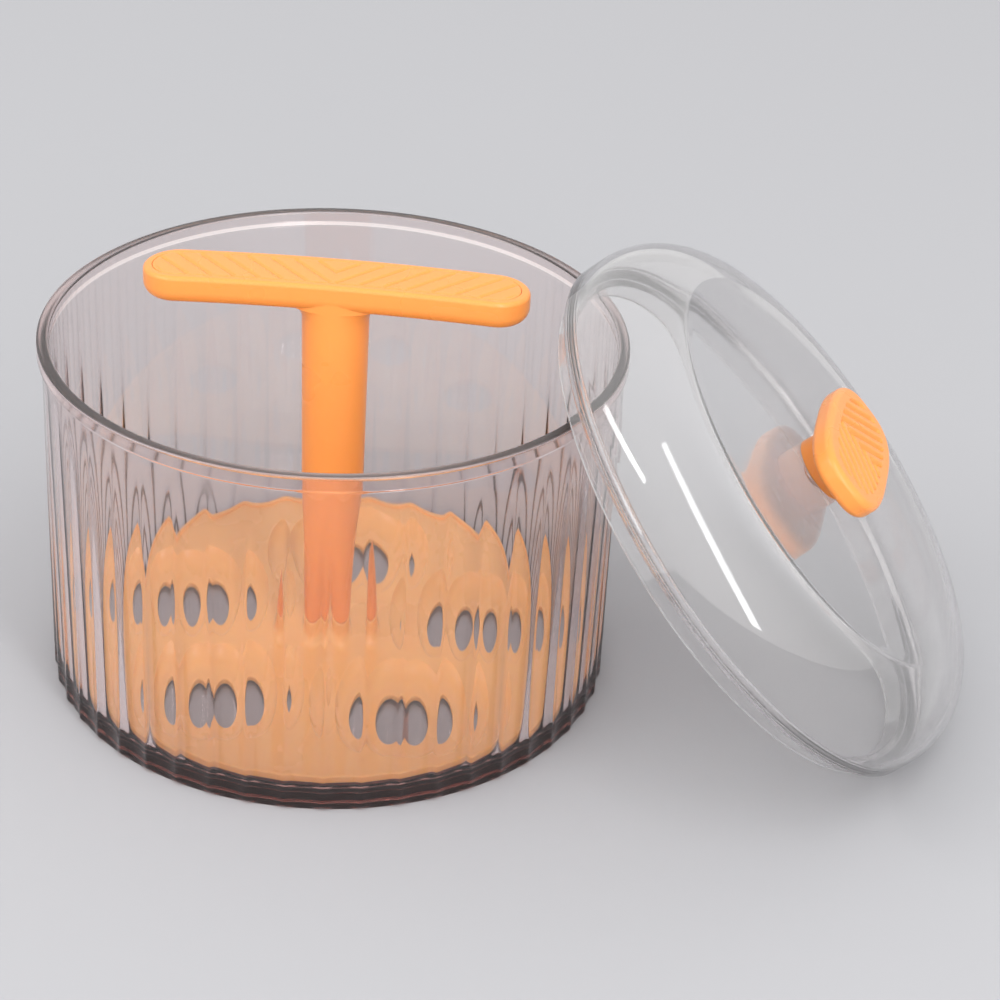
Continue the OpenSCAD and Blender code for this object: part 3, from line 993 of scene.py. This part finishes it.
        set_relief(piece, share)
        run_tree(piece, chevron_tree(), {
            "Pitch": self.chevron_pitch, "Angle": self.chevron_angle, "Width": self.groove_w,
            "Depth": self.groove_depth, "Material": self.skin})
        smooth(place(self.arched(piece), Matrix.Rotation(self.turn, 4, "Z")))
        hand_over(piece, Body.HANDLE, Slot.ORANGE, "grip_cap")
        return piece


@dataclass
class Lid:
    """The domed lid with its knob, the knob's screw and the washer, in the lid's own frame until placed."""

    finish: ClearPlastic
    skin: bpy.types.Material
    screw_finish: TurnedSteel
    washer_finish: Silicone
    axis: Vector
    washer_centre: Vector
    lid_r: float = 85 * MM
    height: float = 27.5 * MM
    wall: float = 2.4 * MM
    shoulder_r: float = 21.5 * MM
    dish: float = 1.2 * MM
    collar_r: float = 80.4 * MM
    collar_h: float = 5.7 * MM
    collar_t: float = 2.4 * MM
    hole_r: float = 2.3 * MM
    knob_length: float = 55 * MM
    knob_width: float = 28 * MM
    knob_t: float = 7 * MM
    knob_turn: float = math.radians(-94.5)
    knob_border: float = 4.2 * MM
    knob_under_round: float = 2.4 * MM
    knob_round: float = 4 * MM
    knob_power: float = 3.0
    relief_fade: float = 0.05
    knob_pitch: float = 5 * MM
    knob_angle: float = math.radians(48)
    groove_w: float = 2.4 * MM
    groove_depth: float = 1.2 * MM
    stem_r: float = 9.75 * MM
    stem_h: float = 7.4 * MM
    screw_r: float = 2 * MM
    screw_l: float = 14.4 * MM
    head_r: float = 4 * MM
    head_h: float = 2 * MM
    recess_r: float = 2.1 * MM
    recess_w: float = 0.9 * MM
    recess_h: float = 1.2 * MM
    washer_r: float = 6.5 * MM
    washer_t: float = 0.8 * MM

    @property
    def top_z(self) -> float:
        """Height of the edge of the top face above the collar's open edge."""
        return self.collar_h + self.height

    @property
    def seat_z(self) -> float:
        """Height of the face that the stem sits on."""
        return self.top_z - self.dish

    def matrix(self) -> Matrix:
        """Gives the place of the lid's own frame, from its axis and the middle of its washer."""
        lean = math.acos(self.axis.z)
        heading = math.atan2(self.axis.y, self.axis.x)
        washer_z = self.seat_z - self.wall - self.washer_t / 2
        origin = self.washer_centre - self.axis * washer_z
        return Matrix.Translation(origin) @ Matrix.Rotation(heading, 4, "Z") @ Matrix.Rotation(lean, 4, "Y")

    def build_lid(self) -> bpy.types.Object:
        """Builds and dresses the clear lid."""
        inner_r = self.lid_r - self.wall
        collar_in = self.collar_r - self.collar_t
        edge = self.lid_r - self.shoulder_r
        bend = (edge, self.top_z - self.shoulder_r)
        outside = arc(bend, self.shoulder_r, 0, 90, steps=28)
        within = arc(bend, self.shoulder_r - self.wall, 90, 0, steps=28)
        sunk = [(r, self.top_z - self.dish * (1 - (r / edge) ** 2) ** 0.8)
                for r in np.linspace(edge, self.stem_r, 24)[1:]]
        corners = [(collar_in, 0, 0), (self.collar_r, 0, 0.5 * MM),
                   (self.collar_r, self.collar_h, 0.3 * MM), (self.lid_r, self.collar_h, 0.7 * MM)]
        corners += [(r, z, 0) for r, z in outside + sunk]
        corners += [(self.hole_r, self.seat_z, 0.2 * MM), (self.hole_r, self.seat_z - self.wall, 0.2 * MM)]
        corners += [(r, z - self.wall, 0) for r, z in reversed(sunk)]
        corners += [(r, z, 0) for r, z in within]
        corners += [(inner_r, self.collar_h + self.wall + 1 * MM, 1.5 * MM),
                    (collar_in, self.collar_h, 1 * MM), (collar_in, 0.4 * MM, 0)]
        outline = refined(rounded(corners), 3 * MM)
        piece = smooth(Shell().revolve(outline, 288, closed=True).mesh("lid_clear"))
        dress(piece, self.finish.material())
        hand_over(place(piece, self.matrix()), Body.LID, Slot.LID, "lid")
        return piece

    def build_knob(self) -> bpy.types.Object:
        """Builds and dresses the knob with its stem and chevrons."""
        under_z = self.seat_z + self.stem_h
        face_z = under_z + self.knob_t
        half = self.knob_width / 2
        outline = rounded([
            (half, under_z, 0), (0, under_z, self.knob_under_round), (0, face_z, self.knob_round),
            (self.knob_border, face_z, 0)], steps=12)
        outline += refined([(self.knob_border, face_z), (half, face_z)], 0.25 * MM)[1:]
        rings = [cushion_shape(self.knob_length, self.knob_width, offset, z, self.knob_power)
                 for offset, z in outline]
        piece = Shell().loft(rings).mesh("knob_moulding")

        def share(points: np.ndarray) -> np.ndarray:
            across = np.abs(points[:, 0]) / (self.knob_length / 2 - self.knob_border)
            along = np.abs(points[:, 1]) / (half - self.knob_border)
            inset = 1 - (across ** self.knob_power + along ** self.knob_power) ** (1 / self.knob_power)
            return np.clip(inset / self.relief_fade, 0, 1) * (points[:, 2] > face_z - WELD)

        set_relief(piece, share)
        run_tree(piece, chevron_tree(), {
            "Pitch": self.knob_pitch, "Angle": self.knob_angle, "Width": self.groove_w,
            "Depth": self.groove_depth, "Material": self.skin})
        stem = rounded([(0, self.seat_z, 0), (self.stem_r, self.seat_z, 0.4 * MM),
                        (self.stem_r, under_z, 0.1 * MM), (self.stem_r + 1 * MM, under_z + 1 * MM, 0),
                        (0, under_z + 1 * MM, 0)])
        join_solid(piece, Shell().revolve(stem, 96).mesh("stem"))
        smooth(piece)
        dress(piece, self.skin)
        place(piece, self.matrix() @ Matrix.Rotation(self.knob_turn, 4, "Z"))
        hand_over(piece, Body.LID, Slot.ORANGE, "knob")
        return piece

    def build_fixings(self) -> None:
        """Builds and dresses the washer and the screw."""
        top = self.seat_z - self.wall
        seat = top - self.washer_t
        middle = (top + seat) / 2
        washer = rounded([
            (self.hole_r, middle, 0), (self.hole_r, seat, 0.2 * MM), (self.washer_r, seat, 0.3 * MM),
            (self.washer_r, top, 0.3 * MM), (self.hole_r, top, 0.2 * MM), (self.hole_r, middle + TINY, 0)])
        ring = Shell().revolve(washer, 96, closed=True).mesh("washer_silicone")
        dress(smooth(ring), self.washer_finish.material())
        hand_over(place(ring, self.matrix()), Body.LID, Slot.SILICONE, "knob_washer")
        low = seat - self.head_h
        tip = seat + self.screw_l
        screw = rounded([
            (0, low, 0), (self.head_r, low, 1.2 * MM), (self.head_r, seat, 0.2 * MM),
            (self.screw_r, seat, 0.1 * MM), (self.screw_r, tip - 1 * MM, 0.3 * MM),
            (0.8 * MM, tip, 0.2 * MM), (0, tip, 0)], steps=8)
        bolt = Shell().revolve(screw, 72).mesh("knob_screw_turned")
        arm, half = self.recess_r, self.recess_w / 2
        corners = [(arm, half), (half, half), (half, arm), (-half, arm), (-half, half), (-arm, half),
                   (-arm, -half), (-half, -half), (-half, -arm), (half, -arm), (half, -half), (arm, -half)]
        ends = [np.array([(x, y, z) for x, y in corners]) for z in (low - self.recess_h, low + self.recess_h)]
        recess = Shell().loft(ends).plate(ends[0], ()).plate(ends[1], ()).mesh("recess")
        join_solid(bolt, recess, "DIFFERENCE")
        dress(smooth(bolt), self.screw_finish.material())
        hand_over(place(bolt, self.matrix()), Body.LID, Slot.STEEL, "knob_screw")


@dataclass(frozen=True)
class Lamp:
    """A soft rectangular lamp that points at the object, placed from the object's middle."""

    name: str
    spot: Corner
    size: tuple[float, float]
    power: float

    def hang(self, centre: Vector) -> None:
        """Hangs the lamp."""
        data = bpy.data.lights.new(self.name, "AREA")
        data.shape = "RECTANGLE"
        data.size, data.size_y = self.size
        data.energy = self.power
        lamp = bpy.data.objects.new(self.name, data)
        lamp.location = centre + Vector(self.spot)
        lamp.rotation_euler = Vector(self.spot).to_track_quat("Z", "Y").to_euler()
        bpy.context.scene.collection.objects.link(lamp)


@dataclass
class Studio:
    """A pale floor, an even room that is brighter in front, and two strip lamps for long clear highlights.

    It is seen from the front and from above, with the jar's rim as the unit of distance.
    """

    unit: float
    centre: Vector
    floor_colour: str = "b5b5b8"
    floor_size: float = 12.0
    room_light: float = 0.95
    front_light: float = 0.9
    stand: Corner = (0.0, -9.049, 5.897)
    heading: float = math.radians(3.70)
    dip: float = math.radians(30.09)
    roll: float = math.radians(2.94)
    lens: float = 108.0
    sensor: float = 36.0
    lamps: tuple[Lamp, ...] = (Lamp("front_strip", (0.33, -0.86, 0.76), (0.17, 1.7), 6.0),
                               Lamp("left_strip", (-0.82, -0.30, 0.80), (0.8, 0.12), 2.6))

    def camera(self) -> None:
        """Puts the camera in its place."""
        data = bpy.data.cameras.new("view")
        data.lens = self.lens
        data.sensor_width = self.sensor
        data.clip_start = 0.01
        data.clip_end = 50.0
        eye = bpy.data.objects.new("view", data)
        level = Vector((math.sin(self.heading), math.cos(self.heading), 0.0))
        ahead = level * math.cos(self.dip) + Vector((0.0, 0.0, -math.sin(self.dip)))
        right = Matrix.Rotation(-self.roll, 3, ahead) @ Vector((level.y, -level.x, 0.0))
        turn = Matrix((right, right.cross(ahead), -ahead)).transposed().to_4x4()
        eye.matrix_world = Matrix.Translation(Vector(self.stand) * self.unit) @ turn
        bpy.context.scene.collection.objects.link(eye)
        bpy.context.scene.camera = eye

    def floor(self) -> None:
        """Lays the floor."""
        bpy.ops.mesh.primitive_plane_add(size=self.floor_size, location=(0, 0, 0))
        ground = bpy.context.object
        ground.name = "floor"
        material, tree, output = new_material("floor_paper")
        skin = add_node(tree, "ShaderNodeBsdfPrincipled", {
            "Base Color": linear(self.floor_colour), "Roughness": 0.9, "Specular IOR Level": 0.1})
        tree.links.new(skin.outputs[0], output.inputs["Surface"])
        ground.data.materials.append(material)

    def light(self) -> None:
        """Lights the room."""
        scene = bpy.context.scene
        room = bpy.data.worlds.new("room")
        scene.world = room
        room.use_nodes = True
        tree = room.node_tree
        tree.nodes.clear()
        place = add_node(tree, "ShaderNodeTexCoord").outputs["Generated"]
        parts = add_node(tree, "ShaderNodeSeparateXYZ", {0: place})
        strength = formula(tree, {"y": parts.outputs[1]}, (
            ("front", "MULTIPLY", "y", -1.0),
            ("part", "MAXIMUM", "front", 0.0),
            ("strength", "MULTIPLY_ADD", "part", self.front_light, self.room_light)))["strength"]
        shade = add_node(tree, "ShaderNodeBackground", {"Color": (1.0, 1.0, 1.0, 1.0), "Strength": strength})
        out = add_node(tree, "ShaderNodeOutputWorld", {"Surface": shade.outputs[0]})
        out.is_active_output = True
        for lamp in self.lamps:
            lamp.hang(self.centre)
        scene.view_settings.view_transform = "Standard"
        scene.view_settings.look = "None"


def main() -> None:
    logging.basicConfig(level=logging.INFO, format="%(name)s: %(message)s")
    joints = {joint["name"]: joint for joint in frame["joints"]}
    jar_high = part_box("jar")[1]
    tray_low, tray_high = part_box("drain_tray")
    handle_low, handle_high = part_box("t_handle")
    washer_low, washer_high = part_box("knob_washer")
    orange = MouldedPlastic("moulded_orange_polypropylene", "ff9f4e", "fe9c4a").material()
    # Painted light: a lighter copy of the same orange plastic, standing in for the light that the tray loses
    # inside the jar.
    orange_painted_lighter = MouldedPlastic("moulded_pale_orange_polypropylene", "ffbc6c", "feb866").material()

    # The jar keeps the default painted warm reflection in its foot band.
    jar_clear = ClearPlastic("smoked_san_jar", "fdfbfb", "de9e98", 56.0,
                             rim_low=jar_high.z - 1 * MM, rim_high=jar_high.z - 0.2 * MM)
    Jar(jar_clear, jar_high.x, jar_high.z).build()
    # The tray wears the lighter orange copy, which is painted light.
    DrainTray(orange_painted_lighter, tray_high.x, tray_low.z, tray_high.z).build()
    handle = Handle(orange, handle_high.z, tray_high.z + REST_GAP, handle_low.z)
    handle.build_handle()
    handle.build_cap()
    # The lid has no dull rim and no painted warm reflection at a foot, so both bands lie far outside it.
    lid_clear = ClearPlastic("smoked_san_lid", "fdfdfd", "c2b8ba", 52.0, rim_low=1.0, rim_high=1.1,
                             foot_low=-1.0, foot_high=-0.9, clearness=0.94)
    lid = Lid(lid_clear, orange, TurnedSteel("turned_stainless_steel"), Silicone("pressed_silicone"),
              Vector(joints["lid_lift"]["axis"]), (washer_low + washer_high) / 2)
    lid.build_lid()
    lid.build_knob()
    lid.build_fixings()

    studio = Studio(jar_high.x, (CAD_LOW + CAD_HIGH) / 2)
    studio.camera()
    studio.floor()
    studio.light()


if __name__ == "__main__":
    main()
